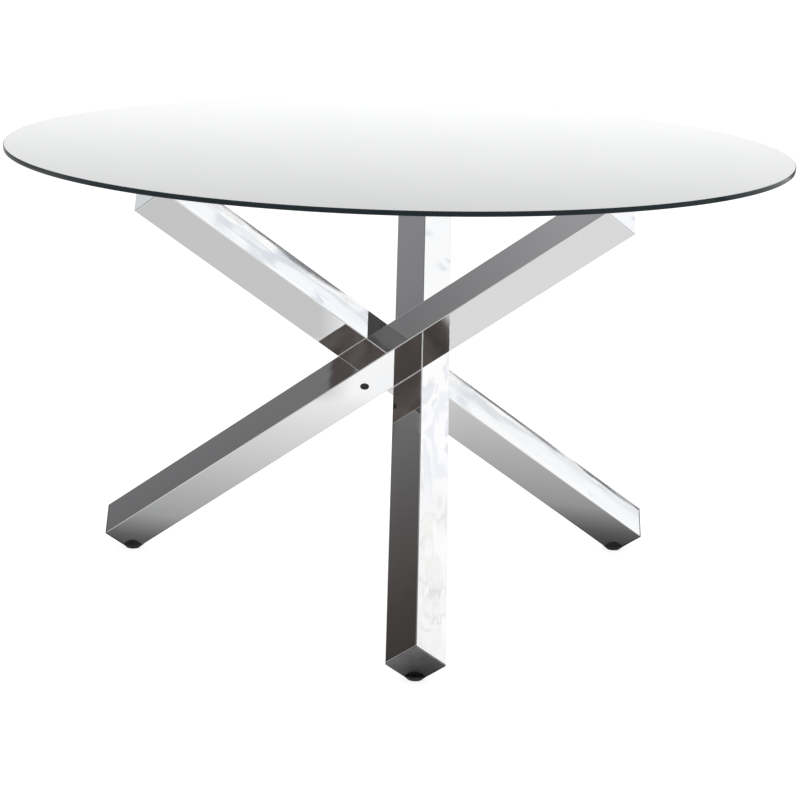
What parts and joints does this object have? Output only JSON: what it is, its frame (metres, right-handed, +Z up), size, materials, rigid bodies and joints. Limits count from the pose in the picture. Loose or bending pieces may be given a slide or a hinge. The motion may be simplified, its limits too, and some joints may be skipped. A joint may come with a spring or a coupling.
{
  "type": "dining table",
  "caption": "Round glass dining table on crossed square chrome tubes bolted face to face, with levelling glides under the feet.",
  "frame": {"origin": "on the floor, under the middle of the round top", "axes": "+Z up; the foot of the front leg is towards -Y, and the other two feet are at the back right and back left"},
  "size_m": [1.2898, 1.29, 0.75],
  "materials": {
    "table_glass": "polished, backed so that it is not see-through, ground dark green edge",
    "polished_chrome": "mirror polished",
    "dark_metallised": "moulded plastic with a dark metallised coat, satin",
    "black_plastic": "moulded, satin",
    "black_nylon": "moulded, slightly rough",
    "zinc_plate": "zinc plated",
    "brass": "turned",
    "clear_silicone": "clear, soft"
  },
  "bodies": {
    "root": {"glass_top": "table_glass", "leg_front": "polished_chrome", "leg_right": "polished_chrome", "leg_left": "polished_chrome", "top_cap_front": "polished_chrome", "top_cap_right": "polished_chrome", "top_cap_left": "polished_chrome", "foot_cap_front": "dark_metallised", "foot_cap_right": "dark_metallised", "foot_cap_left": "dark_metallised", "foot_insert_front": "brass", "foot_insert_right": "brass", "foot_insert_left": "brass", "glass_support_front": "polished_chrome", "glass_support_right": "polished_chrome", "glass_support_left": "polished_chrome", "glass_pad_front": "clear_silicone", "glass_pad_right": "clear_silicone", "glass_pad_left": "clear_silicone", "joint_bolt_front": "zinc_plate", "joint_bolt_right": "zinc_plate", "joint_bolt_left": "zinc_plate", "joint_washer_front": "zinc_plate", "joint_washer_right": "zinc_plate", "joint_washer_left": "zinc_plate", "rivet_nut_front": "zinc_plate", "rivet_nut_right": "zinc_plate", "rivet_nut_left": "zinc_plate", "hole_plug_front": "black_plastic", "hole_plug_right": "black_plastic", "hole_plug_left": "black_plastic"},
    "glide_front": {"glide_pad_front": "black_nylon"},
    "stud_front": {"glide_stud_front": "zinc_plate"},
    "glide_right": {"glide_pad_right": "black_nylon"},
    "stud_right": {"glide_stud_right": "zinc_plate"},
    "glide_left": {"glide_pad_left": "black_nylon"},
    "stud_left": {"glide_stud_left": "zinc_plate"}
  },
  "joints": [
    {"name": "level_front", "type": "slide", "parent": "root", "child": "glide_front", "axis": [0, 0, -1], "range_m": [0, 0.01]},
    {"name": "stud_turn_front", "type": "hinge", "parent": "glide_front", "child": "stud_front", "pos_m": [0.04667, -0.49153, 0], "axis": [0, 0, -1], "range_deg": [0, 2881]},
    {"name": "level_right", "type": "slide", "parent": "root", "child": "glide_right", "axis": [0, 0, -1], "range_m": [0, 0.01]},
    {"name": "stud_turn_right", "type": "hinge", "parent": "glide_right", "child": "stud_right", "pos_m": [0.40234, 0.28618, 0], "axis": [0, 0, -1], "range_deg": [0, 2881]},
    {"name": "level_left", "type": "slide", "parent": "root", "child": "glide_left", "axis": [0, 0, -1], "range_m": [0, 0.01]},
    {"name": "stud_turn_left", "type": "hinge", "parent": "glide_left", "child": "stud_left", "pos_m": [-0.44901, 0.20535, 0], "axis": [0, 0, -1], "range_deg": [0, 2881]}
  ],
  "couplings": [
    {"joint": "stud_turn_front", "follows": "level_front", "rad_per_m": 5026.5},
    {"joint": "stud_turn_right", "follows": "level_right", "rad_per_m": 5026.5},
    {"joint": "stud_turn_left", "follows": "level_left", "rad_per_m": 5026.5}
  ]
}
